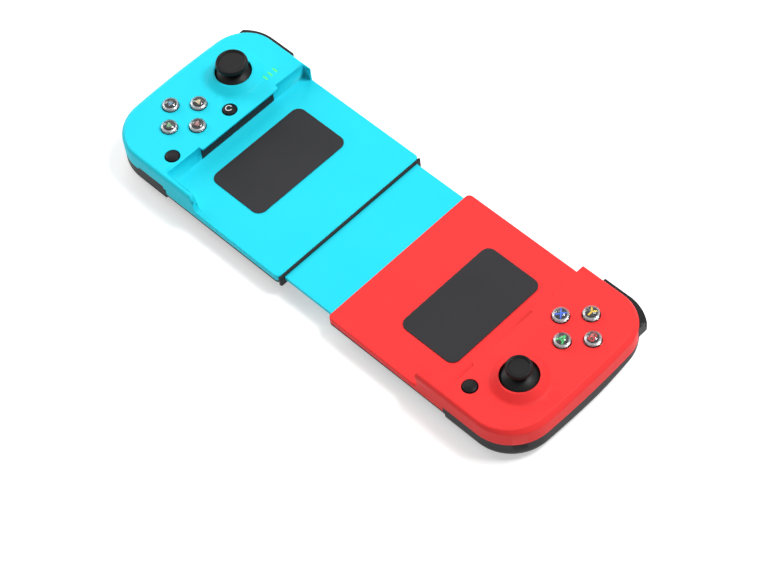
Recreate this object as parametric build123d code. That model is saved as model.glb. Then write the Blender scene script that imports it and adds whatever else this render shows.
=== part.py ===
from build123d import *
import math
import os

# Telescopic game controller that clamps a phone held lengthways between two grips.
# Lengths are millimetres and angles are degrees.
# Origin: middle of the length and depth, on the surface that the bellies rest on.
# +X points to the right grip, +Y away from the player, +Z up.
# The halves are drawn open for a phone as long as phone_length.
# Each half is worked out for the right side, and the left half is mirrored across x = 0.

# Phone space
phone_length = 160.8
phone_width = 78.1
phone_thickness = 7.4
side_gap = 0.95
end_pad_proud = 0.3
tray_pad_proud = 0.4
tab_gap = 0.2

# Grip shells
grip_width = 38.8
far_margin = 1.35
belly_height = 11.0
face_height = 9.0
wall = 1.8
skin = 1.8
end_wall = 1.3
side_wall = 2.5
side_bow = 1.7
far_corner = 17.0
near_corner = 20.0
belly_round = 6.5
belly_inner_step = 1.0
belly_flat_share = 0.61
belly_rise = 4.4
belly_blend = 80.0
band_drop = 1.8
band_outer = 2.2
band_near = 0.7
band_far = 1.0
crest_round = 1.1
shoulder_round = 1.6
overrun = 1.0

# Trays and the slide plate
tray_depth = 4.9
tray_skin = 0.9
tray_rail = 2.65
tray_corner = 2.2
tray_edge_round = 0.5
tray_foot_round = 1.0
left_tray_end = 12.4
right_tray_end = 16.3
plate_thickness = 2.0
slide_clearance = 0.15
plate_left_setback = 8.7
plate_right_overlap = 33.7
plate_corner = 2.0
end_cap_length = 1.2
end_cap_inset = 0.3
end_cap_drop = 0.4
spring_slot_setback = 3.7
spring_slot_width = 2.6
spring_spacing = 36.0
spring_peg_setback = 3.7
spring_peg_radius = 0.9
spring_coil_radius = 0.8
spring_wire_radius = 0.15
spring_turns = 24
spring_tail = 0.6
spring_knot_radius = 0.2
plate_screw_tray_setback = 11.6
plate_screw_spacing_y = 54.0
plate_screw_inset = 6.0
plate_screw_head_radius = 1.9
plate_screw_head_height = 0.9
plate_screw_radius = 0.9

# Side walls beside the phone, and the tabs over its ends
left_wall_reach = 14.0
left_wall_ramp = 7.0
right_wall_reach = 13.4
right_wall_ramp = 1.6
far_stub_reach = 3.7
tab_thickness = 0.8
left_tab_reach = 2.2
left_tab_length = 44.4
left_tab_y = 0.8
right_tab_reach = 1.4
right_tab_length = 12.2
right_tab_places = (-18.0, 15.6)
tab_corner = 0.9
end_pad_thickness = 0.8
end_pad_length = 42.0
end_pad_height = 6.2
tray_pad_thickness = 0.7
tray_pad_length = 30.0
tray_pad_width = 52.0
tray_pad_corner = 4.0
tray_pad_setback = 10.0

# Near step in the left parting line
step_start = 1.4
step_length = 15.6
step_height = 1.4

# Thumbsticks
stick_pivot_drop = 7.0
boss_base_radius = 12.85
boss_rim_radius = 8.9
boss_height = 3.4
boss_edge_round = 0.35
stick_hole_radius = 8.15
dome_radius = 12.2
dome_wall = 1.0
dome_clearance = 0.3
dome_spread = 64.0
stick_neck_radius = 3.2
stick_rise = 6.3
stick_cap_height = 2.1
left_cap_radius = 7.0
right_cap_radius = 5.5
cap_ring_height = 0.5
cap_ring_width = 1.1
cap_edge_round = 0.5
cap_roof = 0.8
cap_collar_share = 0.8
cap_collar_height = 0.6
stem_radius = 1.7
pin_clearance = 0.05
stem_clearance = 0.05
click_travel = 0.5
click_stop_gap = 0.1
gimbal_pin_radius = 0.8
yoke_half = 5.6
yoke_bore_half = 3.9
yoke_height = 2.8
rocker_half_x = 3.0
rocker_half_y = 3.6
stick_base_half = 8.0
stick_base_depth_half = 6.6
stick_base_floor = 0.9
stick_post_thickness = 1.7
stick_post_half = 2.3
stick_post_cover = 1.3
yoke_side_gap = 0.4
left_stick_share = 0.4415
left_stick_offset = 16.15
right_stick_share = 0.461
right_stick_offset = -15.95

# Round buttons
button_radius = 3.45
button_gap = 0.35
button_rise = 3.1
button_dome_height = 1.6
button_spread = 8.5
button_flange = 1.1
button_flange_height = 0.9
button_lift_gap = 0.1
button_plunger_radius = 1.9
button_plunger_length = 5.2
button_travel = 0.8
left_cluster_share = 0.441
left_cluster_offset = -13.15
right_cluster_share = 0.469
right_cluster_offset = 16.65
small_radius = 3.1
small_rise = 0.7
small_dome_height = 0.5
small_plunger_radius = 1.2
small_travel = 0.4
small_setback = 5.0
home_setback = 5.6
turbo_offset = 2.05
small_near_setback = 10.3

# Boards and what they carry
board_height = 6.5
board_thickness = 1.2
board_gap_outer = 3.2
board_gap_near = 4.0
board_gap_far = 10.6
board_gap_inner = 5.3
board_hole_gap = 0.3
mat_radius = 13.2
mat_thickness = 1.0
mat_dome_base = 3.2
mat_dome_top = 2.2
mat_dome_height = 2.4
switch_size = 4.4
switch_nub_radius = 1.0
switch_nub_height = 0.5
switch_gap = 0.1
battery_size = (19.0, 32.0, 3.6)
battery_setback = (19.1, 29.1)
battery_round = 1.2
led_setback = (6.2, 14.4)
led_pitch = 2.85
led_count = 3
led_length = 3.0
led_width = 0.9
led_base_height = 1.0
led_slot_gap = 0.05
port_width = 8.9
port_height = 3.2
port_depth = 7.3
port_wall = 0.3
port_tongue_height = 0.7
port_tongue_width = 6.7
port_tongue_setback = 0.9
port_offset = -10.95
port_gap = 0.2
cable_width = 5.0
cable_thickness = 0.25
cable_groove = 0.6
cable_groove_width = 6.0
cable_offset = 6.85
cable_left_entry = 7.3
cable_turn_setback = 4.5
cable_loop_z = 3.6
cable_loop_length = 8.8
cable_bend = 1.1
connector_length = 2.4
connector_height = 1.3

# Screws that hold each grip together
boss_radius = 2.4
boss_foot_radius = 3.3
screw_radius = 1.0
screw_bite = 4.4
screw_hole_gap = 0.15
thread_allowance = 0.02
head_radius = 2.0
head_height = 1.3
head_hole_gap = 0.15
socket_radius = 0.9
socket_depth = 0.7
head_seat = 4.7
far_head_seat = 7.2
near_screw_setback = (7.5, 10.5)
middle_screw_setback = 6.1
middle_screw_offset = 4.65
inner_screw_setback = 6.0
left_inner_screw_offset = -20.55
right_inner_screw_offset = -1.95
far_screw_setback = (4.7, 6.1)

# Shoulder keys
shoulder_proud = 2.1
shoulder_depth = 1.5
shoulder_flare = 4.0
shoulder_start = 9.3
shoulder_reach_y = 12.0
bumper_end_setback = 3.4
trigger_end_setback = 12.4
shoulder_gap = 0.3
bumper_top_drop = 3.0
bumper_height = 5.6
key_round = 0.7
bumper_hub_setback = (10.7, 5.4)
bumper_hub_radius = 2.0
bumper_peg_radius = 1.1
bumper_arm = 2.6
bumper_angle = 1.5
trigger_top_gap = 0.5
trigger_height = 7.5
trigger_axis_inset = 6.4
trigger_axis_drop = 1.6
trigger_angle = 10.0
trigger_hub_radius = 1.8
trigger_pin_radius = 0.9
trigger_pin_margin = 0.4
trigger_post = 2.4
trigger_post_half = 1.7
trigger_arm = 2.6
trigger_arm_gap = 0.8
trigger_spring_radius = 1.5
trigger_spring_wire = 0.22
trigger_spring_turns = 5
trigger_spring_pitch = 0.85

# Places worked out from the sizes above
grip_x = phone_length / 2 + end_pad_proud
outer_x = grip_x + grip_width
shell_depth = side_wall + side_gap + phone_width + far_margin
near_y = -(shell_depth + shoulder_proud) / 2
far_y = near_y + shell_depth
mid_y = (near_y + far_y) / 2
phone_y = near_y + side_wall + side_gap + phone_width / 2
part_z = belly_height
top_z = belly_height + face_height
glass_z = top_z - tab_thickness - tab_gap
seat_z = glass_z - phone_thickness - tray_pad_proud
tray_bottom_z = seat_z - tray_depth
skin_z = top_z - skin
plate_top_z = seat_z - tray_skin - slide_clearance
plate_z = plate_top_z - plate_thickness
tray_part_z = plate_z
channel_near = near_y + tray_rail
channel_far = far_y - tray_rail
plate_near = channel_near + slide_clearance
plate_far = channel_far - slide_clearance
plate_mid = (plate_near + plate_far) / 2
pivot_z = top_z - stick_pivot_drop
rim_z = top_z + boss_height
board_top_z = board_height + board_thickness
bumper_top_z = top_z - bumper_top_drop
bumper_z = bumper_top_z - bumper_height
trigger_top_z = bumper_z - trigger_top_gap
trigger_z = trigger_top_z - trigger_height
trigger_axis_y = far_y - trigger_axis_inset
trigger_axis_z = part_z - trigger_axis_drop
shoulder_x = grip_x + shoulder_start
bumper_end_x = outer_x - bumper_end_setback
trigger_end_x = outer_x - trigger_end_setback
bumper_hub = (grip_x + bumper_hub_setback[0], far_y - bumper_hub_setback[1])
trigger_pin_x = (shoulder_x + trigger_pin_margin, trigger_end_x + trigger_pin_margin / 2)
plate_left_x = -(grip_x - plate_left_setback)
plate_right_x = right_tray_end + plate_right_overlap
spring_slot_x = right_tray_end + spring_slot_setback
spring_peg_x = grip_x - spring_peg_setback
cable_y = plate_mid + cable_offset
cable_left_x = grip_x + cable_left_entry
cable_turn_x = grip_x + cable_turn_setback
port_y = mid_y + port_offset
led_place = (grip_x + led_setback[0], far_y - led_setback[1])
battery_place = (grip_x + battery_setback[0], near_y + battery_setback[1])
turbo_place = (grip_x + small_setback, mid_y + turbo_offset)
select_place = (grip_x + small_setback, near_y + small_near_setback)
home_place = (grip_x + home_setback, near_y + small_near_setback)


def on_face(share, offset):
    """A place on a grip's face: a share of its width out from the phone, and an offset from its middle."""
    return grip_x + share * grip_width, mid_y + offset


left_stick = on_face(left_stick_share, left_stick_offset)
right_stick = on_face(right_stick_share, right_stick_offset)
left_cluster = on_face(left_cluster_share, left_cluster_offset)
right_cluster = on_face(right_cluster_share, right_cluster_offset)


def block(x0, x1, y0, y1, z0, z1):
    """A box given by its lowest and highest corners."""
    middle = ((x0 + x1) / 2, (y0 + y1) / 2, (z0 + z1) / 2)
    return Pos(*middle) * Box(abs(x1 - x0), abs(y1 - y0), abs(z1 - z0))


def post(x, y, radius, z0, z1):
    """An upright cylinder between two heights."""
    return Pos(x, y, (z0 + z1) / 2) * Cylinder(radius, z1 - z0)


def bar_x(y, z, radius, x0, x1):
    """A cylinder along X between two places."""
    return Pos((x0 + x1) / 2, y, z) * Rot(0, 90, 0) * Cylinder(radius, x1 - x0)


def bar_y(x, z, radius, y0, y1):
    """A cylinder along Y between two places."""
    return Pos(x, (y0 + y1) / 2, z) * Rot(90, 0, 0) * Cylinder(radius, y1 - y0)


def lifted(face, z0, z1):
    """A flat outline raised into a solid between two heights."""
    return extrude(Pos(0, 0, z0) * face, z1 - z0)


def rounded_block(x0, x1, y0, y1, z0, z1, corner):
    """A box whose four upright edges are rounded."""
    outline = Pos((x0 + x1) / 2, (y0 + y1) / 2) * RectangleRounded(abs(x1 - x0), abs(y1 - y0), corner)
    return lifted(outline, z0, z1)


def grip_plan(outer, near, far, inner):
    """The grip seen from above, drawn in by these amounts from its four sides."""
    x_in = grip_x + inner
    x_out = outer_x - outer
    x_end = x_out - side_bow
    y_near = near_y + near
    y_far = far_y - far
    sides = [
        Line((x_in, y_far), (x_end, y_far)),
        ThreePointArc((x_end, y_far), (x_out, mid_y), (x_end, y_near)),
        Line((x_end, y_near), (x_in, y_near)),
        Line((x_in, y_near), (x_in, y_far)),
    ]
    plan = make_face(sides)
    corners = plan.vertices().sort_by(Axis.X)[-2:].sort_by(Axis.Y)
    plan = fillet(corners[1], far_corner - (outer + far) / 2)
    corners = [v for v in plan.vertices() if abs(v.X - x_end) < side_bow and abs(v.Y - y_near) < near_corner / 2]
    return fillet(corners, near_corner - (outer + near) / 2)


def even_plan(inset):
    """The grip's outline drawn in evenly on all four sides."""
    return grip_plan(inset, inset, inset, inset)


def grip_block():
    """The outside of a face shell's grip: upright walls, then a sloped and softened band up to the face."""
    band_z = top_z - band_drop
    walls = lifted(grip_plan(0, 0, 0, 0), part_z, band_z)
    low = Pos(0, 0, band_z) * grip_plan(0, 0, 0, 0)
    high = Pos(0, 0, top_z) * grip_plan(band_outer, band_near, band_far, 0)
    grip = walls + loft([low.face(), high.face()], ruled=True)
    outside = [e for e in grip.edges() if e.center().X > grip_x + crest_round]
    crest = [e for e in outside if abs(e.center().Z - top_z) < crest_round / 10]
    grip = fillet(crest, crest_round)
    outside = [e for e in grip.edges() if e.center().X > grip_x + crest_round]
    crease = [e for e in outside if abs(e.center().Z - band_z) < crest_round / 10]
    return fillet(crease, shoulder_round)


def side_rail(reach, ramp):
    """The upright wall beside the phone, with its free end swept down to the tray."""
    profile_points = [
        (near_y, tray_part_z),
        (near_y, top_z - band_drop),
        (near_y + band_near, top_z),
        (near_y + side_wall, top_z),
        (near_y + side_wall, tray_part_z),
    ]
    profile = make_face(Polyline(profile_points, close=True))
    crease = [v for v in profile.vertices() if abs(v.Y - (top_z - band_drop)) < crest_round / 10]
    profile = fillet(crease, shoulder_round)
    crest = [v for v in profile.vertices() if abs(v.Y - top_z) < crest_round / 10]
    crest = [v for v in crest if abs(v.X - (near_y + band_near)) < crest_round / 10]
    profile = fillet(crest, crest_round)
    x0 = grip_x - reach - ramp
    x1 = grip_x + overrun
    bar = extrude(Plane.YZ.offset(x0) * profile, x1 - x0)
    foot_z = seat_z - tray_skin
    sweep_down = Spline((grip_x - reach, top_z), (x0, seat_z), tangents=((-1, 0), (-1, 0)))
    side = make_face([
        sweep_down,
        Polyline((x0, seat_z), (x0, foot_z), (x1, foot_z), (x1, top_z), (grip_x - reach, top_z)),
    ])
    mask = extrude(Plane.XZ.offset(-far_y) * side, 2 * (far_y - near_y))
    return bar & mask


def tray_plan(tray_end, inset, x1):
    """The tray seen from above, with its free end's corners rounded."""
    x0 = tray_end + inset
    outline = Rectangle(x1 - x0, shell_depth - 2 * inset)
    outline = Pos((x0 + x1) / 2, mid_y) * outline
    free_corners = outline.vertices().sort_by(Axis.X)[:2]
    return fillet(free_corners, tray_corner - inset)


def channel(tray_end, clearance, x1):
    """The flat space inside a tray that holds the slide plate."""
    floor_z = plate_z - clearance
    roof_z = plate_top_z + clearance
    return block(tray_end - overrun, x1, channel_near, channel_far, floor_z, roof_z)


def shoulder_band(grown, depth, x0, x1, z0, z1):
    """A band along the grip's far side and corner, from outside the shell to a depth inside it."""
    band = grip_plan(-shoulder_flare - grown, 0, -shoulder_proud - grown, 0) - even_plan(depth)
    y0 = far_y - shoulder_reach_y
    y1 = far_y + shoulder_reach_y
    window = Pos((x0 + x1) / 2, (y0 + y1) / 2) * Rectangle(x1 - x0, y1 - y0)
    return lifted(band & window, z0, z1)


def shoulder_window():
    """The openings in both shells that the bumper and the trigger sit in."""
    bumper_swing = (bumper_end_x - bumper_hub[0]) * math.sin(math.radians(bumper_angle))
    trigger_swing = (trigger_axis_z - trigger_z) * math.sin(math.radians(trigger_angle))
    x0 = shoulder_x - shoulder_gap
    upper = shoulder_band(overrun, shoulder_depth + bumper_swing + shoulder_gap, x0, bumper_end_x + shoulder_gap,
                          bumper_z - shoulder_gap, bumper_top_z + shoulder_gap)
    lower = shoulder_band(overrun, shoulder_depth + trigger_swing + shoulder_gap, x0, trigger_end_x + shoulder_gap,
                          -overrun, trigger_top_z + shoulder_gap)
    return upper + lower


def shoulder_key(x1, z0, z1):
    """The outer bar of a shoulder key, with its outer edges rounded."""
    key = shoulder_band(0, shoulder_depth, shoulder_x, x1, z0, z1)
    outside = grip_plan(-shoulder_flare, 0, -shoulder_proud, 0).faces()[0].outer_wire()
    rims = []
    for e in key.edges():
        middle = e.position_at(0.5)
        level = abs(e.tangent_at(0.5).Z) < math.sin(math.radians(5))
        spot = Vector(middle.X, middle.Y, 0)
        if level and outside.distance_to(Vertex(spot)) < key_round / 10:
            rims.append(e)
    return fillet(rims, key_round)


def screw_places(side):
    """Each screw of a grip: its place and the height that its head bears on."""
    inner_offset = left_inner_screw_offset if side == "left" else right_inner_screw_offset
    return [
        (outer_x - near_screw_setback[0], near_y + near_screw_setback[1], head_seat),
        (outer_x - middle_screw_setback, mid_y + middle_screw_offset, head_seat),
        (grip_x + inner_screw_setback, mid_y + inner_offset, head_seat),
        (grip_x + far_screw_setback[0], far_y - far_screw_setback[1], far_head_seat),
    ]


def cluster_places(centre):
    """Four button centres round a cluster: outer, far, inner, near."""
    x, y = centre
    offsets = ((button_spread, 0), (0, button_spread), (-button_spread, 0), (0, -button_spread))
    return [(x + dx, y + dy) for dx, dy in offsets]


def face_shell(side):
    """The coloured top shell of one half, drawn on the right."""
    is_left = side == "left"
    tray_end = left_tray_end if is_left else right_tray_end
    reach, ramp = (left_wall_reach, left_wall_ramp) if is_left else (right_wall_reach, right_wall_ramp)
    stick_x, stick_y = left_stick if is_left else right_stick
    cluster = left_cluster if is_left else right_cluster
    small_places = (turbo_place, select_place) if is_left else (home_place,)

    shell = grip_block()
    tray = lifted(tray_plan(tray_end, 0, grip_x + end_wall), tray_part_z, seat_z)
    rim = [e for e in tray.edges() if abs(e.center().Z - seat_z) < tray_edge_round / 10]
    rim = [e for e in rim if e.center().X < grip_x + end_wall / 2]
    shell += fillet(rim, tray_edge_round)
    shell += side_rail(reach, ramp)
    if is_left:
        stub_y = phone_y + phone_width / 2 + side_gap / 2
        shell += block(grip_x - far_stub_reach, grip_x + overrun, stub_y, far_y, tray_part_z, top_z - band_drop)

    cavity = grip_plan(wall, wall, wall, end_wall)
    shell -= lifted(cavity, part_z - overrun, skin_z)
    shell -= block(grip_x + end_wall, outer_x, channel_near, channel_far, tray_part_z - overrun, part_z)
    shell -= channel(tray_end, 0 if is_left else slide_clearance, grip_x + end_wall + overrun)
    shell -= block(grip_x, outer_x, near_y - overrun, far_y + overrun, tray_part_z - overrun, part_z)

    cone = Pos(stick_x, stick_y, top_z + boss_height / 2) * Cone(boss_base_radius, boss_rim_radius, boss_height)
    rim = [e for e in cone.edges() if abs(e.center().Z - rim_z) < boss_edge_round / 10]
    shell += fillet(rim, boss_edge_round)
    for x, y, seat in screw_places(side):
        shell += post(x, y, boss_radius, part_z, skin_z + skin / 2)
    peg_x, peg_y = bumper_hub
    shell -= shoulder_window()
    shell += post(peg_x, peg_y, bumper_peg_radius, bumper_z, skin_z + skin / 2)
    for place in (right_tab_places if not is_left else (left_tab_y,)):
        length = left_tab_length if is_left else right_tab_length
        tab_reach = left_tab_reach if is_left else right_tab_reach
        middle = phone_y + place
        tab = rounded_block(grip_x - tab_reach, grip_x + tab_reach, middle - length / 2, middle + length / 2,
                            top_z - tab_thickness, top_z, tab_corner)
        shell += tab

    shell -= post(stick_x, stick_y, stick_hole_radius, skin_z - overrun, rim_z + overrun)
    shell -= Pos(stick_x, stick_y, pivot_z) * Sphere(dome_radius + dome_clearance)
    for x, y in cluster_places(cluster):
        shell -= post(x, y, button_radius + button_gap, skin_z - overrun, top_z + overrun)
    for x, y in small_places:
        shell -= post(x, y, small_radius + button_gap, skin_z - overrun, top_z + overrun)
    for x, y, seat in screw_places(side):
        shell -= post(x, y, screw_radius + thread_allowance, part_z - overrun, part_z + screw_bite + overrun)
    pad_z = (seat_z + glass_z) / 2
    pocket = end_pad_thickness - end_pad_proud
    shell -= block(grip_x - overrun, grip_x + pocket, phone_y - end_pad_length / 2, phone_y + end_pad_length / 2,
                   pad_z - end_pad_height / 2, pad_z + end_pad_height / 2)
    pad_pocket = tray_pad_thickness - tray_pad_proud
    shell -= rounded_block(*tray_pad_span(), seat_z - pad_pocket, seat_z + overrun, tray_pad_corner)
    if is_left:
        for i in range(led_count):
            y = led_place[1] + (i - (led_count - 1) / 2) * led_pitch
            slot_x = led_length / 2 + led_slot_gap
            slot_y = led_width / 2 + led_slot_gap
            shell -= block(led_place[0] - slot_x, led_place[0] + slot_x, y - slot_y, y + slot_y,
                           skin_z - overrun, top_z + overrun)
        shell -= near_step()
    return shell


def tray_pad_span():
    """Where a tray pad starts and ends along the tray and across it."""
    x1 = grip_x - tray_pad_setback
    return x1 - tray_pad_length, x1, phone_y - tray_pad_width / 2, phone_y + tray_pad_width / 2


def near_step():
    """The stretch of the left near wall that belongs to the back shell."""
    x0 = grip_x + step_start
    return block(x0, x0 + step_length, near_y - overrun, near_y + wall, part_z - overrun, part_z + step_height)


def belly_form(inset, inner, floor_z, radius):
    """The belly's form: the grip's outline cut below by a face that is level, then rises to the far side."""
    reach = part_z + overrun
    flat_y = near_y + belly_flat_share * shell_depth
    side = make_face(Polyline([
        (near_y - overrun, floor_z),
        (flat_y, floor_z),
        (far_y + overrun, floor_z + belly_rise),
        (far_y + overrun, reach),
        (near_y - overrun, reach),
    ], close=True))
    knee = [v for v in side.vertices() if abs(v.X - flat_y) < radius / 10]
    side = fillet(knee, belly_blend)
    wedge = extrude(Plane.YZ.offset(grip_x - overrun) * side, grip_width + 2 * overrun)
    column = lifted(grip_plan(inset, inset, inset, inner), floor_z - overrun, part_z)
    form = column & wedge
    rims = []
    for e in form.edges():
        middle = e.center()
        upright = abs(e.tangent_at(0).Z) > math.cos(math.radians(45))
        across = abs(e.tangent_at(0).X) > math.cos(math.radians(5))
        inside_y = near_y + inset + radius < middle.Y < far_y - inset - radius
        if middle.Z < part_z - radius / 4 and not upright and not (across and inside_y):
            rims.append(e)
    return fillet(rims, radius)


def back_shell(side):
    """The black shell of one half: the belly under the grip and the floor of the tray."""
    is_left = side == "left"
    tray_end = left_tray_end if is_left else right_tray_end
    outside = belly_form(0, belly_inner_step, 0, belly_round)
    inside = belly_form(wall, belly_inner_step + wall, wall, belly_round - wall)
    bosses = None
    for x, y, seat in screw_places(side):
        column = post(x, y, boss_radius, 0, part_z) + post(x, y, boss_foot_radius, 0, max(seat + wall, board_height))
        bosses = column if bosses is None else bosses + column
    axis_y, axis_z = trigger_axis_y, trigger_axis_z
    for x0 in (trigger_pin_x[0], trigger_pin_x[1] - trigger_post):
        bosses += block(x0, x0 + trigger_post, axis_y - trigger_post_half, axis_y + trigger_post_half,
                        0, axis_z + trigger_post_half)
    shell = outside - inside + (bosses & outside)

    tray = lifted(tray_plan(tray_end, 0, grip_x + belly_inner_step + wall), tray_bottom_z, tray_part_z)
    feet = [e for e in tray.edges() if abs(e.center().Z - tray_bottom_z) < tray_foot_round / 10]
    feet = [e for e in feet if e.center().X < grip_x + belly_inner_step]
    tray = fillet(feet, tray_foot_round)
    neck = block(grip_x, grip_x + belly_inner_step + wall, near_y, far_y, tray_part_z, part_z)
    shell += tray + neck
    clearance = 0 if is_left else slide_clearance
    shell -= channel(tray_end, clearance, grip_x + belly_inner_step + wall + overrun)
    shell -= block(grip_x + end_wall, grip_x + belly_inner_step + wall + overrun, channel_near, channel_far,
                   plate_z, part_z + overrun)
    if is_left:
        x0 = grip_x + step_start
        shell += block(x0, x0 + step_length, near_y, near_y + wall, part_z, part_z + step_height)
        for x, y in plate_screw_places():
            shell -= post(x, y, plate_screw_radius + thread_allowance, tray_bottom_z - overrun, plate_z + overrun)
            shell -= post(x, y, plate_screw_head_radius + head_hole_gap, tray_bottom_z - overrun,
                          tray_bottom_z + plate_screw_head_height)
        shell -= port_form(port_gap)
    else:
        for y in spring_rows():
            shell += post(spring_peg_x, y, spring_peg_radius, tray_bottom_z + wall / 2, plate_top_z)
    shell -= shoulder_window()
    for x, y, seat in screw_places(side):
        shell -= post(x, y, screw_radius + screw_hole_gap, -overrun, part_z + overrun)
        shell -= post(x, y, head_radius + head_hole_gap, -overrun, seat)
    shell -= bar_x(axis_y, axis_z, trigger_pin_radius, *trigger_pin_x)
    return shell


def plate_screw_places():
    """The four screws that hold the slide plate to the left tray, in the right-hand drawing."""
    x0 = left_tray_end + plate_screw_tray_setback
    x1 = -plate_left_x - plate_screw_inset
    y0 = plate_mid - plate_screw_spacing_y / 2
    return [(x, y) for x in (x0, x1) for y in (y0, y0 + plate_screw_spacing_y)]


def spring_rows():
    """The two rows across the plate in which the springs lie."""
    return plate_mid - spring_spacing / 2, plate_mid + spring_spacing / 2


def slide_plate():
    """The plate that is screwed into the left tray and slides in the right one."""
    outline = Pos((plate_right_x + plate_left_x) / 2, plate_mid) * RectangleRounded(
        plate_right_x - plate_left_x, plate_far - plate_near, plate_corner)
    plate = lifted(outline, plate_z, plate_top_z)
    for y in spring_rows():
        plate -= block(spring_slot_x, plate_right_x + overrun, y - spring_slot_width / 2,
                       y + spring_slot_width / 2, plate_z - overrun, plate_top_z + overrun)
    plate -= block(plate_left_x - overrun, plate_right_x + overrun, cable_y - cable_groove_width / 2,
                   cable_y + cable_groove_width / 2, plate_z - overrun, plate_z + cable_groove)
    for x, y in plate_screw_places():
        plate -= post(-x, y, plate_screw_radius + thread_allowance, plate_z - overrun, plate_top_z + overrun)
    return plate


def plate_screws():
    """Four short screws through the left tray's floor into the plate."""
    solids = []
    for x, y in plate_screw_places():
        head_z = tray_bottom_z + plate_screw_head_height
        head = post(-x, y, plate_screw_head_radius, tray_bottom_z, head_z)
        head -= post(-x, y, socket_radius, tray_bottom_z - overrun, tray_bottom_z + plate_screw_head_height / 2)
        solids.append(head + post(-x, y, plate_screw_radius, head_z, plate_top_z - slide_clearance))
    return solids


def tray_end_cap():
    """The black cap at the left tray's free end, with a window for the plate."""
    x1 = left_tray_end
    x0 = x1 - end_cap_length
    cap = rounded_block(x0, x1 + tray_corner, near_y + end_cap_inset, far_y - end_cap_inset,
                        tray_bottom_z - end_cap_drop, seat_z - end_cap_drop / 2, end_cap_length * 0.6)
    cap -= block(x1, x1 + 2 * tray_corner, near_y - overrun, far_y + overrun, 0, top_z)
    return cap - block(x0 - overrun, x1 + overrun, plate_near, plate_far, plate_z, plate_top_z)


def telescope_springs():
    """Two long extension springs, each from its slot's closed end in the plate to a peg in the right tray."""
    solids = []
    x0 = spring_slot_x
    x1 = spring_peg_x - spring_peg_radius
    length = x1 - x0 - 2 * spring_tail
    z = (plate_z + plate_top_z) / 2
    for y in spring_rows():
        axis = Plane(origin=(x0 + spring_tail, y, z), x_dir=(0, 1, 0), z_dir=(1, 0, 0))
        path = axis * Helix(pitch=length / spring_turns, height=length, radius=spring_coil_radius)
        wire = Plane(origin=path @ 0, z_dir=path % 0) * Circle(spring_wire_radius)
        coil = sweep(wire, path=path)
        for joint_x, tip_x in ((x0 + spring_tail, x0), (x1 - spring_tail, x1)):
            coil += Pos(joint_x, y + spring_coil_radius, z) * Sphere(spring_knot_radius)
            coil += bar_x(y + spring_coil_radius, z, spring_wire_radius, min(joint_x, tip_x), max(joint_x, tip_x))
        solids.append(coil)
    return solids


def circuit_board(side):
    """The board of one grip, with clearance round the screw bosses and the trigger's posts."""
    board = lifted(grip_plan(board_gap_outer, board_gap_near, board_gap_far, board_gap_inner),
                   board_height, board_top_z)
    for x, y, seat in screw_places(side):
        board -= post(x, y, boss_radius + board_hole_gap, board_height - overrun, board_top_z + overrun)
    if side == "left":
        board += block(cable_left_x, cable_left_x + connector_length, cable_y - cable_width / 2,
                       cable_y + cable_width / 2, board_top_z, board_top_z + connector_height)
    return board


def stick_base(x, y):
    """The fixed cradle of a stick, with two posts that carry the yoke's pins."""
    z0 = board_top_z
    base = rounded_block(x - stick_base_half, x + stick_base_half, y - stick_base_depth_half,
                         y + stick_base_depth_half, z0, z0 + stick_base_floor, stick_base_floor)
    for sign in (-1, 1):
        inner = x + sign * (yoke_half + yoke_side_gap)
        outer = inner + sign * stick_post_thickness
        top = pivot_z + gimbal_pin_radius + stick_post_cover
        base += block(min(inner, outer), max(inner, outer), y - stick_post_half, y + stick_post_half, z0, top)
        base -= bar_x(y, pivot_z, gimbal_pin_radius + pin_clearance, min(inner, outer) - overrun / 2,
                      max(inner, outer) + overrun)
    return base


def stick_yoke(x, y):
    """The square ring that turns about X in the cradle and carries the rocker."""
    z0, z1 = pivot_z - yoke_height / 2, pivot_z + yoke_height / 2
    ring = rounded_block(x - yoke_half, x + yoke_half, y - yoke_half, y + yoke_half, z0, z1, yoke_height / 4)
    ring -= block(x - yoke_bore_half, x + yoke_bore_half, y - yoke_bore_half, y + yoke_bore_half,
                  z0 - overrun, z1 + overrun)
    pin_reach = yoke_half + yoke_side_gap + stick_post_thickness
    ring += bar_x(y, pivot_z, gimbal_pin_radius, x - pin_reach, x - yoke_half + overrun)
    ring += bar_x(y, pivot_z, gimbal_pin_radius, x + yoke_half - overrun, x + pin_reach)
    ring -= bar_y(x, pivot_z, gimbal_pin_radius + pin_clearance, y - yoke_half - overrun, y - yoke_bore_half + overrun)
    ring -= bar_y(x, pivot_z, gimbal_pin_radius + pin_clearance, y + yoke_bore_half - overrun, y + yoke_half + overrun)
    return ring


def stem_top_z():
    """The top of the stem that the stick cap slides on."""
    return rim_z + stick_rise - cap_ring_height - cap_roof - click_travel - click_stop_gap


def stick_rocker(x, y):
    """The block that turns about Y in the yoke, with the stem that carries the cap."""
    z0, z1 = pivot_z - yoke_height / 2, pivot_z + yoke_height / 2
    rocker = block(x - rocker_half_x, x + rocker_half_x, y - rocker_half_y, y + rocker_half_y, z0, z1)
    rocker += bar_y(x, pivot_z, gimbal_pin_radius, y - yoke_half, y + yoke_half)
    return rocker + post(x, y, stem_radius, z1 - overrun, stem_top_z())


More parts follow.
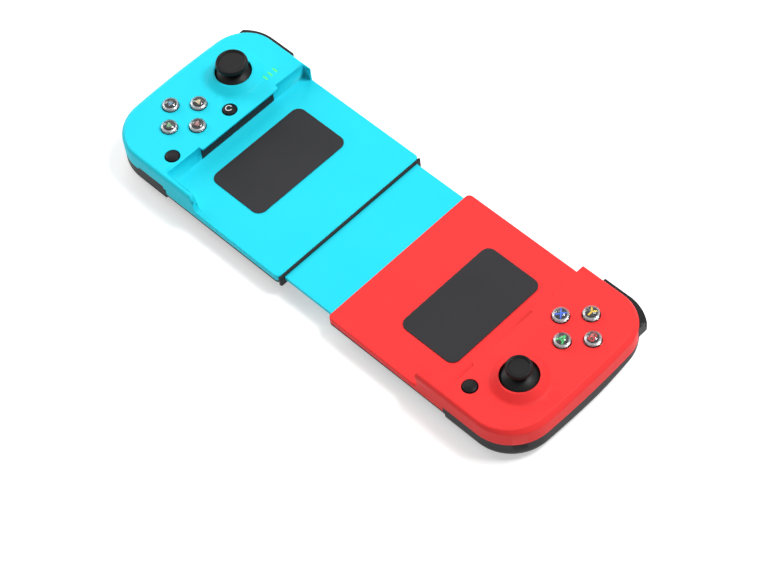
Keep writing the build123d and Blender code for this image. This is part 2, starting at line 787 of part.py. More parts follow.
def stick_cap(x, y, cap_radius):
    """The thumb cap: a dished top with a raised ring, a collar and neck, and a dome skirt round the pivot."""
    top = rim_z + stick_rise
    under = top - stick_cap_height
    disc = post(x, y, cap_radius, under, top - cap_ring_height)
    disc = fillet(disc.edges().filter_by(GeomType.CIRCLE), cap_edge_round)
    ring = post(x, y, cap_radius - cap_edge_round / 2, top - cap_ring_height - cap_edge_round, top)
    ring = fillet(ring.edges().filter_by(GeomType.CIRCLE).sort_by(Axis.Z)[-1:], cap_ring_height / 2)
    disc += ring
    dish_radius = cap_radius - cap_edge_round / 2 - cap_ring_width
    disc -= post(x, y, dish_radius, top - cap_ring_height, top + overrun)
    skirt = Sphere(dome_radius) - Sphere(dome_radius - dome_wall)
    low = dome_radius * math.cos(math.radians(dome_spread))
    skirt &= Pos(0, 0, low + dome_radius / 2) * Cylinder(dome_radius + overrun, dome_radius)
    cap = disc + Pos(x, y, pivot_z) * skirt
    cap += post(x, y, cap_radius * cap_collar_share, under - cap_collar_height, under + cap_edge_round)
    cap += post(x, y, stick_neck_radius, pivot_z + dome_radius - dome_wall, under + cap_edge_round)
    bore_top = stem_top_z() + click_travel + click_stop_gap
    return cap - post(x, y, stem_radius + stem_clearance, pivot_z, bore_top)


def round_button(x, y):
    """A domed round button with a flange under the skin and a plunger below."""
    shoulder_z = top_z + button_rise - button_dome_height
    flange_z = skin_z - button_lift_gap
    body = post(x, y, button_radius, flange_z - button_flange_height, shoulder_z)
    body += domed_top(x, y, button_radius, button_dome_height, shoulder_z)
    body += post(x, y, button_radius + button_flange, flange_z - button_flange_height, flange_z)
    plunger_z = flange_z - button_flange_height - button_plunger_length
    return body + post(x, y, button_plunger_radius, plunger_z, flange_z)


def domed_top(x, y, radius, height, z):
    """A shallow spherical cap on a round button."""
    ball = (radius * radius + height * height) / (2 * height)
    cap = Pos(x, y, z + height - ball) * Sphere(ball)
    return cap & post(x, y, radius, z - height / 10, z + height)


def small_button(x, y):
    """A small, nearly flat round button over a tact switch, flattened where it passes the end wall."""
    shoulder_z = top_z + small_rise - small_dome_height
    flange_z = skin_z - button_lift_gap
    body = post(x, y, small_radius, flange_z - button_flange_height, shoulder_z)
    body += domed_top(x, y, small_radius, small_dome_height, shoulder_z)
    flange = post(x, y, small_radius + button_flange, flange_z - button_flange_height, flange_z)
    clear_x = grip_x + end_wall + button_gap
    flange -= block(grip_x - button_radius, clear_x, y - 2 * small_radius, y + 2 * small_radius, 0, top_z)
    plunger_z = board_top_z + switch_size * 3 / 4 + switch_nub_height + switch_gap + small_travel
    return body + flange + post(x, y, small_plunger_radius, plunger_z, flange_z)


def tact_switch(x, y):
    """A small square push switch on the board."""
    half = switch_size / 2
    top = board_top_z + switch_size * 3 / 4
    body = block(x - half, x + half, y - half, y + half, board_top_z, top)
    return body + post(x, y, switch_nub_radius, top, top + switch_nub_height)


def switch_place(place):
    """A switch lies under its button, but no nearer to the end wall than the board's edge allows."""
    return max(place[0], grip_x + board_gap_inner), place[1]


def button_mat(centre, side):
    """A rubber mat with one collapsing dome under each round button."""
    x, y = centre
    mat = post(x, y, mat_radius, board_top_z, board_top_z + mat_thickness)
    for bx, by in cluster_places(centre):
        z = board_top_z + mat_thickness + mat_dome_height / 2
        mat += Pos(bx, by, z) * Cone(mat_dome_base, mat_dome_top, mat_dome_height)
    for bx, by, seat in screw_places(side):
        mat -= post(bx, by, boss_radius + board_hole_gap, board_height, part_z)
    return mat


def light_pipe():
    """Three clear bars that stand in the face's slots on one base."""
    x, y = led_place
    half = (led_count - 1) / 2 * led_pitch + led_width / 2
    pipe = block(x - led_length / 2, x + led_length / 2, y - half, y + half, skin_z - led_base_height, skin_z)
    for i in range(led_count):
        bar_y0 = y + (i - (led_count - 1) / 2) * led_pitch
        pipe += block(x - led_length / 2, x + led_length / 2, bar_y0 - led_width / 2, bar_y0 + led_width / 2,
                      skin_z, top_z)
    return pipe


def battery():
    """The flat pouch cell under the left board."""
    length, width, height = battery_size
    x, y = battery_place
    cell = block(x - length / 2, x + length / 2, y - width / 2, y + width / 2, wall, wall + height)
    return fillet(cell.edges().filter_by(Axis.Y), battery_round)


def port_form(gap):
    """The stadium-shaped outside of the charging port, grown by a gap, at the grip's outer side."""
    height = port_height + 2 * gap
    width = port_width + 2 * gap
    z = board_top_z + port_height / 2
    outline = Plane.YZ.offset(outer_x - port_depth) * Pos(port_y, z) * RectangleRounded(width, height, height * 0.49)
    return extrude(outline, port_depth + overrun * gap / port_gap)


def charge_port():
    """The charging port's steel shell with the tongue inside it."""
    shell = port_form(0)
    z = board_top_z + port_height / 2
    inner_height = port_height - 2 * port_wall
    inner = Plane.YZ.offset(outer_x - port_depth + port_wall) * Pos(port_y, z) * RectangleRounded(
        port_width - 2 * port_wall, inner_height, inner_height * 0.49)
    shell -= extrude(inner, port_depth)
    return shell + block(outer_x - port_depth, outer_x - port_tongue_setback, port_y - port_tongue_width / 2,
                         port_y + port_tongue_width / 2, z - port_tongue_height / 2, z + port_tongue_height / 2)


def link_cable():
    """The flat flex from the left board, under the plate, to a slack loop below the right board."""
    run_z = plate_z + cable_groove / 2
    route = FilletPolyline(
        (-cable_left_x, cable_y, run_z),
        (cable_turn_x, cable_y, run_z),
        (cable_turn_x, cable_y, cable_loop_z),
        (cable_turn_x + cable_loop_length, cable_y, cable_loop_z),
        (cable_turn_x + cable_loop_length, cable_y, board_height),
        radius=cable_bend,
    )
    section = Plane(origin=route @ 0, x_dir=(0, 1, 0), z_dir=route % 0) * Rectangle(cable_width, cable_thickness)
    return sweep(section, path=route)


def screws(side):
    """The long screws that pull a grip's two shells together."""
    solids = []
    for x, y, seat in screw_places(side):
        screw = post(x, y, head_radius, seat - head_height, seat)
        socket = Pos(x, y, seat - head_height) * extrude(RegularPolygon(socket_radius, 6), socket_depth)
        screw -= socket
        solids.append(screw + post(x, y, screw_radius, seat, part_z + screw_bite))
    return solids


def end_pad():
    """The rubber pad in the face that meets the phone's end."""
    z = (seat_z + glass_z) / 2
    x0 = grip_x - end_pad_proud
    return block(x0, x0 + end_pad_thickness, phone_y - end_pad_length / 2, phone_y + end_pad_length / 2,
                 z - end_pad_height / 2, z + end_pad_height / 2)


def tray_pad():
    """The thin rubber pad that the phone lies on."""
    z1 = seat_z + tray_pad_proud
    return rounded_block(*tray_pad_span(), z1 - tray_pad_thickness, z1, tray_pad_corner)


def bumper():
    """The upper shoulder key, which turns a little about a peg near its inner end."""
    key = shoulder_key(bumper_end_x, bumper_z, bumper_top_z)
    x, y = bumper_hub
    top = bumper_top_z - shoulder_gap
    key += block(x - bumper_arm / 2, x + bumper_arm / 2, y, far_y - shoulder_depth + overrun / 2, bumper_z, top)
    key += post(x, y, bumper_hub_radius, bumper_z, top)
    return key - post(x, y, bumper_peg_radius + pin_clearance, bumper_z - overrun, bumper_top_z)


def trigger_arm_middles():
    """Where the trigger's two arms stand along its pin, each close to a post."""
    reach = trigger_post + trigger_arm_gap + trigger_arm / 2
    return trigger_pin_x[0] + reach, trigger_pin_x[1] - reach


def trigger():
    """The lower shoulder key, which swings about a pin along X."""
    key = shoulder_key(trigger_end_x, trigger_z, trigger_top_z)
    half = trigger_arm / 2
    for x in trigger_arm_middles():
        key += block(x - half, x + half, trigger_axis_y, far_y - shoulder_depth + overrun / 2,
                     trigger_axis_z - trigger_hub_radius, trigger_axis_z + trigger_hub_radius / 2)
        key += bar_x(trigger_axis_y, trigger_axis_z, trigger_hub_radius, x - half, x + half)
        key -= bar_x(trigger_axis_y, trigger_axis_z, trigger_pin_radius + pin_clearance,
                     x - half - overrun, x + half + overrun)
    return key


def trigger_pin():
    """The steel pin that a trigger turns on."""
    return bar_x(trigger_axis_y, trigger_axis_z, trigger_pin_radius, *trigger_pin_x)


def trigger_spring():
    """The coil round a trigger's pin that pushes it back out."""
    height = trigger_spring_turns * trigger_spring_pitch
    x0 = sum(trigger_pin_x) / 2 - height / 2
    axis = Plane(origin=(x0, trigger_axis_y, trigger_axis_z), x_dir=(0, 1, 0), z_dir=(1, 0, 0))
    path = axis * Helix(pitch=trigger_spring_pitch, height=height, radius=trigger_spring_radius)
    wire = Plane(origin=path @ 0, z_dir=path % 0) * Circle(trigger_spring_wire)
    return sweep(wire, path=path)


def mirrored(shape):
    """The left-hand twin of a right-hand drawing."""
    return mirror(shape, about=Plane.YZ)


def half_pieces(side):
    """Every piece that both halves have, by name without its side."""
    stick = left_stick if side == "left" else right_stick
    cap_radius = left_cap_radius if side == "left" else right_cap_radius
    cluster = left_cluster if side == "left" else right_cluster
    return {
        "face_shell": face_shell(side),
        "back_shell": back_shell(side),
        "end_pad": end_pad(),
        "tray_pad": tray_pad(),
        "circuit_board": circuit_board(side),
        "stick_base": stick_base(*stick),
        "stick_yoke": stick_yoke(*stick),
        "stick_rocker": stick_rocker(*stick),
        "stick_cap": stick_cap(*stick, cap_radius),
        "button_mat": button_mat(cluster, side),
        "bumper": bumper(),
        "trigger": trigger(),
        "trigger_pin": trigger_pin(),
        "trigger_spring": trigger_spring(),
    }


def all_nodes():
    """Every node of the part: its name and its solids."""
    nodes = {}
    for side in ("left", "right"):
        for name, shape in half_pieces(side).items():
            nodes[side + "_" + name] = [mirrored(shape) if side == "left" else shape]
        turned = [mirrored(s) if side == "left" else s for s in screws(side)]
        nodes[side + "_screws"] = turned
    outer, far, inner, near = cluster_places(left_cluster)
    for name, place in (("dpad_left", outer), ("dpad_up", far), ("dpad_right", inner), ("dpad_down", near)):
        nodes[name] = [mirrored(round_button(*place))]
    outer, far, inner, near = cluster_places(right_cluster)
    for name, place in (("button_b", outer), ("button_y", far), ("button_x", inner), ("button_a", near)):
        nodes[name] = [round_button(*place)]
    nodes["turbo_button"] = [mirrored(small_button(*turbo_place))]
    nodes["select_button"] = [mirrored(small_button(*select_place))]
    nodes["home_button"] = [small_button(*home_place)]
    nodes["left_tact_switches"] = [mirrored(tact_switch(*switch_place(p))) for p in (turbo_place, select_place)]
    nodes["right_tact_switch"] = [tact_switch(*switch_place(home_place))]
    nodes["left_tray_end_cap"] = [mirrored(tray_end_cap())]
    nodes["light_pipe"] = [mirrored(light_pipe())]
    nodes["battery"] = [mirrored(battery())]
    nodes["charge_port"] = [mirrored(charge_port())]
    nodes["slide_plate"] = [slide_plate()]
    nodes["plate_screws"] = plate_screws()
    nodes["telescope_springs"] = telescope_springs()
    nodes["link_cable"] = [link_cable()]
    return nodes


def one_shape(solids):
    """The shape to write: a lone solid, or a group of separate ones."""
    parts = [s for shape in solids for s in shape.solids()]
    return parts[0] if len(parts) == 1 else Compound(children=parts)


os.makedirs("parts", exist_ok=True)
for node_name, node_solids in all_nodes().items():
    export_step(one_shape(node_solids), os.path.join("parts", node_name + ".step"))
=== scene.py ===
import math

import bmesh
import bpy
import numpy as np
from mathutils import Matrix, Vector


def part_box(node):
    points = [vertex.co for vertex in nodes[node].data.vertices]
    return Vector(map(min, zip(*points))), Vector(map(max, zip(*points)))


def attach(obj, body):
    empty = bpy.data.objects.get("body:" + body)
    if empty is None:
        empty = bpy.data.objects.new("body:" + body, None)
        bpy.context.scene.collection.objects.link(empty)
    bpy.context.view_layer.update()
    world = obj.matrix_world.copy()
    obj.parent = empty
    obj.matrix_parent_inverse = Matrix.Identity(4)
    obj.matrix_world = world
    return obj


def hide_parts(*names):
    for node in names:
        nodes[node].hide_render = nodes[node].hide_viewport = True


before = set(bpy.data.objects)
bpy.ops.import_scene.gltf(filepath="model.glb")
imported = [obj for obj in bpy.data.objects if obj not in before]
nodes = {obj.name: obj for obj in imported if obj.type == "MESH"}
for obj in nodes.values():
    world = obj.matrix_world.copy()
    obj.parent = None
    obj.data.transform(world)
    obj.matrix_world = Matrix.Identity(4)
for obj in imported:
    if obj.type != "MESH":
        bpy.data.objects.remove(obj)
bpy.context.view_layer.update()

MM = 0.001

# How loose triangles are merged, and where a smoothly shaded surface still has an edge
WELD_DISTANCE = 0.002 * MM
SPECK_DISTANCE = 0.001 * MM
EDGE_ANGLE = 32
CORE_EDGE_ANGLE = 20

# The shared plastic look: how slowly its shade drifts and how deep its grain is
DRIFT_SCALE = 35
DRIFT_DETAIL = 2
GRAIN_DETAIL = 3
GRAIN_DEPTH = 0.02 * MM
CLEAR_PLASTIC_IOR = 1.49
LED_GLOW = 0.25
STEEL_STRETCH = (200, 2600, 2600)

# Colours are scene linear, roughness is the shader's own number.
CYAN = (0.020, 0.730, 0.880)
CYAN_DEEP = (0.014, 0.680, 0.840)
RED = (0.930, 0.046, 0.046)
RED_DEEP = (0.890, 0.038, 0.038)
SHELL_BLACK = (0.008, 0.008, 0.009)
KEY_BLACK = (0.005, 0.005, 0.006)
STICK_BLACK = (0.006, 0.006, 0.006)
CORE_BLACK = (0.003, 0.003, 0.004)
# Grey of the buttons' metal collars: a painted reflection, standing in for the light seen in the clear caps'
# walls
REFLECTION_GREY = (0.440, 0.450, 0.460)
LED_GREEN = (0.030, 0.800, 0.220)
LEGEND_COLOURS = {
    "x": (0.020, 0.150, 0.900),
    "y": (0.900, 0.600, 0.030),
    "a": (0.030, 0.560, 0.130),
    "b": (0.550, 0.020, 0.020),
    "up": (0.750, 0.610, 0.350),
    "down": (0.150, 0.400, 0.170),
    "left": (0.150, 0.260, 0.380),
    "right": (0.430, 0.170, 0.170),
}

# Places that the dressed pieces share with the frame
BUTTON_DOME = 1.6 * MM
COLLAR_RADIUS = 3.3 * MM
COLLAR_FALL = 1.0 * MM
CORE_RADIUS = 2.3 * MM
CORE_HEIGHT = 0.12 * MM
CORE_DROP = 0.25 * MM
LEGEND_THICKNESS = 0.12 * MM
LETTER_HEIGHT = 3.3 * MM
TRIANGLE_SIZE = 1.35 * MM
TURBO_RING = (1.15 * MM, 1.55 * MM)
TURBO_OPENING = 60
TURBO_HEADING = 45
TURBO_STEPS = 60
CAPITAL_SHARE = 0.7
LETTER_SWELL = 0.12 * MM


def node_box(name):
    """The lowest and highest corners of a frame node, as vectors."""
    low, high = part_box(name)
    return Vector(low), Vector(high)


def top_centre(name):
    """The middle of a frame node's highest level."""
    low, high = node_box(name)
    return Vector(((low.x + high.x) / 2, (low.y + high.y) / 2, high.z))


# Materials


def new_material(name):
    """A node material, its node tree and its empty Principled shader."""
    material = bpy.data.materials.new(name)
    material.use_nodes = True
    tree = material.node_tree
    return material, tree, tree.nodes["Principled BSDF"]


def moulded_group():
    """Shared look of moulded plastic: a slow drift of shade, a fine grain in the gloss and a fine relief."""
    group = bpy.data.node_groups.new("moulded_surface", "ShaderNodeTree")
    face = group.interface
    for label in ("Colour", "Deep"):
        face.new_socket(label, in_out="INPUT", socket_type="NodeSocketColor")
    for label in ("Gloss low", "Gloss high", "Grain", "Relief"):
        face.new_socket(label, in_out="INPUT", socket_type="NodeSocketFloat")
    for label, kind in (("Colour", "NodeSocketColor"), ("Roughness", "NodeSocketFloat"),
                        ("Normal", "NodeSocketVector")):
        face.new_socket(label, in_out="OUTPUT", socket_type=kind)
    made = group.nodes
    link = group.links.new
    start = made.new("NodeGroupInput")
    end = made.new("NodeGroupOutput")
    place = made.new("ShaderNodeTexCoord")
    drift = made.new("ShaderNodeTexNoise")
    drift.inputs["Scale"].default_value = DRIFT_SCALE
    drift.inputs["Detail"].default_value = DRIFT_DETAIL
    link(place.outputs["Object"], drift.inputs["Vector"])
    shade = made.new("ShaderNodeMix")
    shade.data_type = "RGBA"
    link(drift.outputs["Fac"], shade.inputs["Factor"])
    link(start.outputs["Colour"], shade.inputs["A"])
    link(start.outputs["Deep"], shade.inputs["B"])
    link(shade.outputs["Result"], end.inputs["Colour"])
    grain = made.new("ShaderNodeTexNoise")
    grain.inputs["Detail"].default_value = GRAIN_DETAIL
    link(place.outputs["Object"], grain.inputs["Vector"])
    link(start.outputs["Grain"], grain.inputs["Scale"])
    gloss = made.new("ShaderNodeMapRange")
    link(grain.outputs["Fac"], gloss.inputs["Value"])
    link(start.outputs["Gloss low"], gloss.inputs["To Min"])
    link(start.outputs["Gloss high"], gloss.inputs["To Max"])
    link(gloss.outputs["Result"], end.inputs["Roughness"])
    relief = made.new("ShaderNodeBump")
    relief.inputs["Distance"].default_value = GRAIN_DEPTH
    link(grain.outputs["Fac"], relief.inputs["Height"])
    link(start.outputs["Relief"], relief.inputs["Strength"])
    link(relief.outputs["Normal"], end.inputs["Normal"])
    return group


MOULDED = moulded_group()


def moulded(name, colour, deep, gloss, grain=1800, relief=0.35, shine=0.5):
    """A moulded plastic or rubber whose shade, gloss and relief vary finely."""
    material, tree, shader = new_material(name)
    shader.inputs["Specular IOR Level"].default_value = shine
    surface = tree.nodes.new("ShaderNodeGroup")
    surface.node_tree = MOULDED
    surface.inputs["Colour"].default_value = (*colour, 1)
    surface.inputs["Deep"].default_value = (*deep, 1)
    surface.inputs["Gloss low"].default_value = gloss[0]
    surface.inputs["Gloss high"].default_value = gloss[1]
    surface.inputs["Grain"].default_value = grain
    surface.inputs["Relief"].default_value = relief
    link = tree.links.new
    link(surface.outputs["Colour"], shader.inputs["Base Color"])
    link(surface.outputs["Roughness"], shader.inputs["Roughness"])
    link(surface.outputs["Normal"], shader.inputs["Normal"])
    return material


def scaled(colour, share):
    """A colour made darker or lighter by a share."""
    return tuple(c * share for c in colour)


def clear_plastic():
    """The water-clear plastic of the round buttons' caps."""
    material = moulded("clear_cap", (0.97, 0.98, 0.98), (0.93, 0.95, 0.96), (0.02, 0.06), relief=0)
    shader = material.node_tree.nodes["Principled BSDF"]
    shader.inputs["IOR"].default_value = CLEAR_PLASTIC_IOR
    shader.inputs["Transmission Weight"].default_value = 1
    return material


def painted_reflection_metal():
    """Grey metal for the coned collar round a button's core: its bright ring is a painted reflection,
    standing in for the light seen in the clear cap's wall.
    """
    material = moulded("button_collar", REFLECTION_GREY, scaled(REFLECTION_GREY, 0.9), (0.30, 0.38), relief=0)
    material.node_tree.nodes["Principled BSDF"].inputs["Metallic"].default_value = 1
    return material


def led_plastic():
    """The lit indicator bars: green light through frosted plastic."""
    material = moulded("led_green", LED_GREEN, scaled(LED_GREEN, 0.85), (0.3, 0.4))
    shader = material.node_tree.nodes["Principled BSDF"]
    shader.inputs["Emission Color"].default_value = (*LED_GREEN, 1)
    shader.inputs["Emission Strength"].default_value = LED_GLOW
    return material


def metal():
    """Plain machined steel with fine lines of gloss."""
    material, tree, shader = new_material("steel")
    shader.inputs["Base Color"].default_value = (0.56, 0.56, 0.58, 1)
    shader.inputs["Metallic"].default_value = 1
    place = tree.nodes.new("ShaderNodeTexCoord")
    stretch = tree.nodes.new("ShaderNodeMapping")
    stretch.inputs["Scale"].default_value = STEEL_STRETCH
    lines = tree.nodes.new("ShaderNodeTexNoise")
    lines.inputs["Scale"].default_value = 1
    gloss = tree.nodes.new("ShaderNodeMapRange")
    gloss.inputs["To Min"].default_value = 0.25
    gloss.inputs["To Max"].default_value = 0.45
    link = tree.links.new
    link(place.outputs["Object"], stretch.inputs["Vector"])
    link(stretch.outputs["Vector"], lines.inputs["Vector"])
    link(lines.outputs["Fac"], gloss.inputs["Value"])
    link(gloss.outputs["Result"], shader.inputs["Roughness"])
    return material


def legend(name, colour):
    """Printed ink of a legend."""
    return moulded("legend_" + name, colour, scaled(colour, 0.85), (0.35, 0.45), grain=2500, relief=0.1)


MATERIALS = {
    "cyan": moulded("cyan_plastic", CYAN, CYAN_DEEP, (0.44, 0.54), relief=0.2, shine=0.12),
    "red": moulded("red_plastic", RED, RED_DEEP, (0.44, 0.54), relief=0.2, shine=0.12),
    "shell": moulded("black_plastic", SHELL_BLACK, scaled(SHELL_BLACK, 0.8), (0.40, 0.52), relief=0.4,
                     shine=0.18),
    "key": moulded("key_plastic", KEY_BLACK, scaled(KEY_BLACK, 0.8), (0.32, 0.42), relief=0.2, shine=0.15),
    "rubber": moulded("stick_rubber", STICK_BLACK, scaled(STICK_BLACK, 0.75), (0.36, 0.46), grain=2600,
                      relief=0.3, shine=0.15),
    "pad": moulded("pad_rubber", (0.03, 0.03, 0.033), (0.02, 0.02, 0.022), (0.6, 0.75), grain=2200,
                   relief=0.8, shine=0.2),
    "inner": moulded("inner_plastic", (0.06, 0.06, 0.065), (0.045, 0.045, 0.05), (0.5, 0.6)),
    "board": moulded("board_green", (0.02, 0.12, 0.06), (0.015, 0.09, 0.05), (0.3, 0.45)),
    "flex": moulded("flex_amber", (0.45, 0.2, 0.04), (0.36, 0.15, 0.03), (0.25, 0.35)),
    "cell": moulded("battery_foil", (0.45, 0.47, 0.5), (0.38, 0.4, 0.43), (0.3, 0.45)),
    "core": moulded("button_core", CORE_BLACK, scaled(CORE_BLACK, 0.7), (0.3, 0.4)),
    # Painted reflection: the grey metal collar stands in for the light seen in the clear caps' walls
    "collar": painted_reflection_metal(),
    "clear": clear_plastic(),
    "led": led_plastic(),
    "steel": metal(),
    "pale_ink": legend("pale", (0.75, 0.77, 0.78)),
}
for key, ink in LEGEND_COLOURS.items():
    MATERIALS["ink_" + key] = legend(key, ink)

NODE_LOOKS = {
    "cyan": ("slide_plate",),
    "pad": ("left_end_pad", "right_end_pad", "left_tray_pad", "right_tray_pad", "left_button_mat",
            "right_button_mat"),
    "inner": ("left_stick_base", "right_stick_base", "left_stick_yoke", "right_stick_yoke",
              "left_stick_rocker", "right_stick_rocker", "left_tact_switches", "right_tact_switch"),
    "board": ("left_circuit_board", "right_circuit_board"),
    "flex": ("link_cable",),
    "cell": ("battery",),
    "led": ("light_pipe",),
    "steel": ("left_screws", "right_screws", "plate_screws", "left_trigger_pin", "right_trigger_pin",
              "left_trigger_spring", "right_trigger_spring", "telescope_springs", "charge_port"),
}

# Frame nodes that are shown by a merged, smoothly shaded copy: look, body and material slot
SMOOTH_NODES = {
    "left_face_shell": ("cyan", "left_half", "cyan_shell"),
    "right_face_shell": ("red", "right_half", "red_shell"),
    "left_back_shell": ("shell", "left_half", "black_shell"),
    "right_back_shell": ("shell", "right_half", "black_shell"),
    "left_tray_end_cap": ("shell", "left_half", "black_shell"),
    "left_stick_cap": ("rubber", "left_stick_cap", "stick_rubber"),
    "right_stick_cap": ("rubber", "right_stick_cap", "stick_rubber"),
}
for key_name in ("left_bumper", "left_trigger", "right_bumper", "right_trigger", "turbo_button",
                 "select_button", "home_button"):
    SMOOTH_NODES[key_name] = ("key", key_name, "black_keys")
LETTER_BUTTONS = {"button_a": "a", "button_b": "b", "button_x": "x", "button_y": "y"}
ARROW_BUTTONS = {"dpad_up": (90, "up"), "dpad_down": (270, "down"), "dpad_left": (180, "left"),
                 "dpad_right": (0, "right")}
for key_name in (*LETTER_BUTTONS, *ARROW_BUTTONS):
    SMOOTH_NODES[key_name] = ("clear", key_name, "button_gloss")


# Pieces


def place_piece(name, mesh, look, body):
    """Puts a mesh in the scene as a piece that rides on a body."""
    piece = bpy.data.objects.new(name, mesh)
    bpy.context.scene.collection.objects.link(piece)
    mesh.materials.clear()
    mesh.materials.append(MATERIALS[look])
    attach(piece, body)
    return piece


def smooth_by_angle(mesh, degrees):
    """Shades a mesh smoothly, with sharp edges where its faces turn by more than an angle."""
    mesh.polygons.foreach_set("use_smooth", [True] * len(mesh.polygons))
    mesh.set_sharp_from_angle(angle=math.radians(degrees))


def even_normals(draft):
    """The same mesh with normals led by its large faces, so that flat faces look flat beside round edges."""
    holder = bpy.data.objects.new("holder", draft)
    bpy.context.scene.collection.objects.link(holder)
    even = holder.modifiers.new("even", "WEIGHTED_NORMAL")
    even.keep_sharp = True
    bpy.context.view_layer.update()
    mesh = bpy.data.meshes.new_from_object(holder.evaluated_get(bpy.context.evaluated_depsgraph_get()))
    bpy.data.objects.remove(holder)
    return mesh


def smooth_copy(node):
    """A merged copy of a frame node's mesh, shaded smoothly, in the node's place."""
    look, body, slot = SMOOTH_NODES[node]
    work = bmesh.new()
    work.from_mesh(nodes[node].data)
    bmesh.ops.remove_doubles(work, verts=work.verts, dist=WELD_DISTANCE)
    bmesh.ops.dissolve_degenerate(work, edges=work.edges, dist=SPECK_DISTANCE)
    draft = bpy.data.meshes.new(node + "_draft")
    work.to_mesh(draft)
    work.free()
    smooth_by_angle(draft, EDGE_ANGLE)
    mesh = even_normals(draft)
    mesh.name = node + "_smooth"
    piece = place_piece(node + "_dressed", mesh, look, body)
    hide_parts(node)
    return piece


def turned_mesh(name, centre, profile, steps=64):
    """A closed surface of revolution about the vertical through centre.

    Each profile point (r, z) gives a ring: x = r cos t, y = r sin t at height z, for t over a full turn.
    """
    radii, heights = np.array(profile, dtype=float).T
    turn = np.linspace(0, 2 * np.pi, steps, endpoint=False)
    x = centre[0] + np.outer(radii, np.cos(turn))
    y = centre[1] + np.outer(radii, np.sin(turn))
    z = centre[2] + np.outer(heights, np.ones(steps))
    points = np.stack([x, y, z], axis=-1).reshape(-1, 3)
    here = np.arange(steps)
    after = (here + 1) % steps
    low = np.arange(len(radii) - 1)[:, None] * steps
    high = low + steps
    walls = np.stack([low + here, low + after, high + after, high + here], axis=-1).reshape(-1, 4)
    caps = [here[::-1].tolist(), (here + (len(radii) - 1) * steps).tolist()]
    mesh = bpy.data.meshes.new(name)
    mesh.from_pydata(points.tolist(), [], walls.tolist() + caps)
    return mesh


def slab_mesh(name, outline, low, high):
    """A flat slab over an outline: the same (x, y) points at two heights, joined by upright walls."""
    outline = np.asarray(outline, dtype=float)
    count = len(outline)
    points = np.vstack([np.insert(outline, 2, height, axis=1) for height in (low, high)])
    here = np.arange(count)
    after = (here + 1) % count
    walls = np.stack([here, after, after + count, here + count], axis=-1)
    caps = [here[::-1].tolist(), (here + count).tolist()]
    mesh = bpy.data.meshes.new(name)
    mesh.from_pydata(points.tolist(), [], caps + walls.tolist())
    return mesh


def ring_points(centre, radius, turn):
    """Points (x + r cos t, y + r sin t) round a centre, for an array of angles t in degrees."""
    angles = np.radians(turn)
    return np.stack([centre.x + radius * np.cos(angles), centre.y + radius * np.sin(angles)], axis=-1)


def button_core(node):
    """The black disc on a grey coned collar in a clear button, the collar a painted reflection of the light
    in the cap's wall; returns the middle of the disc's top.
    """
    centre = top_centre(node)
    seat = (centre.x, centre.y, centre.z - BUTTON_DOME - CORE_DROP - CORE_HEIGHT)
    profile = ((COLLAR_RADIUS, -2 * COLLAR_FALL), (COLLAR_RADIUS, -COLLAR_FALL), (CORE_RADIUS, 0))
    disc = ((CORE_RADIUS, 0), (CORE_RADIUS, CORE_HEIGHT / 2), (CORE_RADIUS - CORE_HEIGHT / 2, CORE_HEIGHT))
    for part, shape, look in (("collar", profile, "collar"), ("core", disc, "core")):
        mesh = turned_mesh(node + "_" + part, seat, shape)
        smooth_by_angle(mesh, CORE_EDGE_ANGLE)
        place_piece(node + "_" + part, mesh, look, node)
    return Vector((seat[0], seat[1], seat[2] + CORE_HEIGHT))


def letter_piece(node, letter):
    """A coloured capital letter on a button's core."""
    seat = button_core(node)
    words = bpy.data.curves.new(node + "_letter", "FONT")
    words.body = letter.upper()
    words.align_x = "CENTER"
    words.align_y = "CENTER"
    words.size = LETTER_HEIGHT / CAPITAL_SHARE
    words.extrude = LEGEND_THICKNESS / 2
    words.offset = LETTER_SWELL
    draft = bpy.data.objects.new(node + "_draft", words)
    bpy.context.scene.collection.objects.link(draft)
    bpy.context.view_layer.update()
    mesh = bpy.data.meshes.new_from_object(draft.evaluated_get(bpy.context.evaluated_depsgraph_get()))
    bpy.data.objects.remove(draft)
    corners = np.array([v.co for v in mesh.vertices])
    middle = (corners.min(axis=0) + corners.max(axis=0)) / 2
    shift = Vector(seat) - Vector(middle) + Vector((0, 0, LEGEND_THICKNESS / 2))
    mesh.transform(Matrix.Translation(shift))
    mesh.name = node + "_legend"
    place_piece(node + "_legend", mesh, "ink_" + letter, node)


def arrow_piece(node, degrees, ink):
    """A small coloured triangle on a button's core, pointing outwards."""
    seat = button_core(node)
    outline = ring_points(seat, TRIANGLE_SIZE, degrees + np.arange(3) * 120)
    mesh = slab_mesh(node + "_legend", outline, seat.z, seat.z + LEGEND_THICKNESS)
    place_piece(node + "_legend", mesh, "ink_" + ink, node)


def turbo_legend(node):
    """An open ring on the turbo button, between two radii, over all but a small opening."""
    centre = top_centre(node)
    low = centre.z - LEGEND_THICKNESS / 2
    half_gap = TURBO_OPENING / 2
    turn = np.linspace(TURBO_HEADING + half_gap, TURBO_HEADING + 360 - half_gap, TURBO_STEPS)
    inner, outer = (ring_points(centre, radius, turn) for radius in TURBO_RING)
    mesh = slab_mesh(node + "_legend", np.vstack([outer, inner[::-1]]), low, low + LEGEND_THICKNESS)
    place_piece(node + "_legend", mesh, "pale_ink", node)


for look, names in NODE_LOOKS.items():
    for name in names:
        node_mesh = nodes[name].data
        node_mesh.materials.clear()
        node_mesh.materials.append(MATERIALS[look])
for name in SMOOTH_NODES:
    smooth_copy(name)
for name, mark in LETTER_BUTTONS.items():
    letter_piece(name, mark)
for name, (heading, ink) in ARROW_BUTTONS.items():
    arrow_piece(name, heading, ink)
turbo_legend("turbo_button")


# Stage, lights and camera

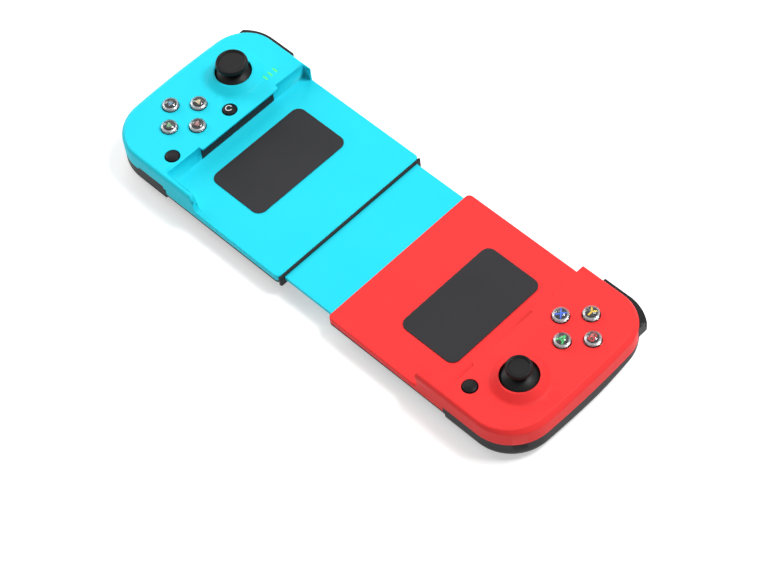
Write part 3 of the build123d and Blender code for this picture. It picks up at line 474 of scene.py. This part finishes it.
FLOOR_SIZE = 6.0
FLOOR_LOW = -0.004
FLOOR_TOP = -0.0002
FLOOR_LIFT = 0.46
AMBIENT = 0.28
CAMERA_PLACE = (0.471168, -0.380038, 0.823152)
CAMERA_TARGET = (0.0243156, -0.0189350, 0.015)
CAMERA_ROLL = -7.7957
CAMERA_LENS = 116.196
CAMERA_SENSOR = 36
CAMERA_REACH = (0.05, 20)


def is_seen(tree):
    """1 where the camera looks straight, by a mirror or through clear plastic; otherwise 0."""
    path = tree.nodes.new("ShaderNodeLightPath")
    seen = path.outputs["Is Camera Ray"]
    for way in ("Is Glossy Ray", "Is Transmission Ray"):
        either = tree.nodes.new("ShaderNodeMath")
        either.operation = "MAXIMUM"
        tree.links.new(seen, either.inputs[0])
        tree.links.new(path.outputs[way], either.inputs[1])
        seen = either.outputs[0]
    return seen


def make_floor():
    """The pale floor that keeps the shadow, a little brighter to the eye than to the light."""
    half = FLOOR_SIZE / 2
    outline = ((-half, -half), (half, -half), (half, half), (-half, half))
    mesh = slab_mesh("studio_floor", outline, FLOOR_LOW, FLOOR_TOP)
    material, tree, shader = new_material("floor_paint")
    shader.inputs["Base Color"].default_value = (0.86, 0.86, 0.86, 1)
    shader.inputs["Roughness"].default_value = 0.9
    shader.inputs["Specular IOR Level"].default_value = 0.0
    shader.inputs["Emission Color"].default_value = (1, 1, 1, 1)
    lift = tree.nodes.new("ShaderNodeMath")
    lift.operation = "MULTIPLY"
    lift.inputs[1].default_value = FLOOR_LIFT
    tree.links.new(is_seen(tree), lift.inputs[0])
    tree.links.new(lift.outputs[0], shader.inputs["Emission Strength"])
    mesh.materials.append(material)
    floor = bpy.data.objects.new("studio_floor", mesh)
    bpy.context.scene.collection.objects.link(floor)


def make_world():
    """Even light from all round, white where the camera sees past the floor."""
    world = bpy.data.worlds.new("studio")
    bpy.context.scene.world = world
    world.use_nodes = True
    tree = world.node_tree
    back = tree.nodes["Background"]
    back.inputs["Color"].default_value = (1, 1, 1, 1)
    level = tree.nodes.new("ShaderNodeMapRange")
    level.inputs["To Min"].default_value = AMBIENT
    level.inputs["To Max"].default_value = 1.0
    tree.links.new(is_seen(tree), level.inputs["Value"])
    tree.links.new(level.outputs["Result"], back.inputs["Strength"])


def area_light(name, place, target, size, watts):
    """A soft lamp at a place, aimed at a target."""
    data = bpy.data.lights.new(name, "AREA")
    data.shape = "RECTANGLE"
    data.size, data.size_y = size
    data.energy = watts
    lamp = bpy.data.objects.new(name, data)
    bpy.context.scene.collection.objects.link(lamp)
    lamp.location = place
    aim = Vector(target) - Vector(place)
    lamp.rotation_euler = aim.to_track_quat("-Z", "Y").to_euler()


def make_camera():
    """The photograph's view of the object."""
    data = bpy.data.cameras.new("photo_camera")
    data.sensor_width = CAMERA_SENSOR
    data.lens = CAMERA_LENS
    data.clip_start, data.clip_end = CAMERA_REACH
    camera = bpy.data.objects.new("photo_camera", data)
    bpy.context.scene.collection.objects.link(camera)
    aim = (Vector(CAMERA_TARGET) - Vector(CAMERA_PLACE)).to_track_quat("-Z", "Y")
    roll = Matrix.Rotation(math.radians(CAMERA_ROLL), 4, "Z")
    camera.matrix_world = Matrix.Translation(CAMERA_PLACE) @ aim.to_matrix().to_4x4() @ roll
    bpy.context.scene.camera = camera


make_floor()
make_world()
area_light("key_lamp", (0.62, 0.68, 1.5), (0, 0, 0), (0.6, 0.6), 23)
area_light("fill_lamp", (-0.9, 0.7, 1.4), (0, 0, 0), (0.9, 0.9), 6)
area_light("left_softbox", (-1.3, -0.1, 0.7), (0, 0, 0), (0.5, 0.8), 7)
make_camera()
bpy.context.scene.view_settings.view_transform = "Standard"
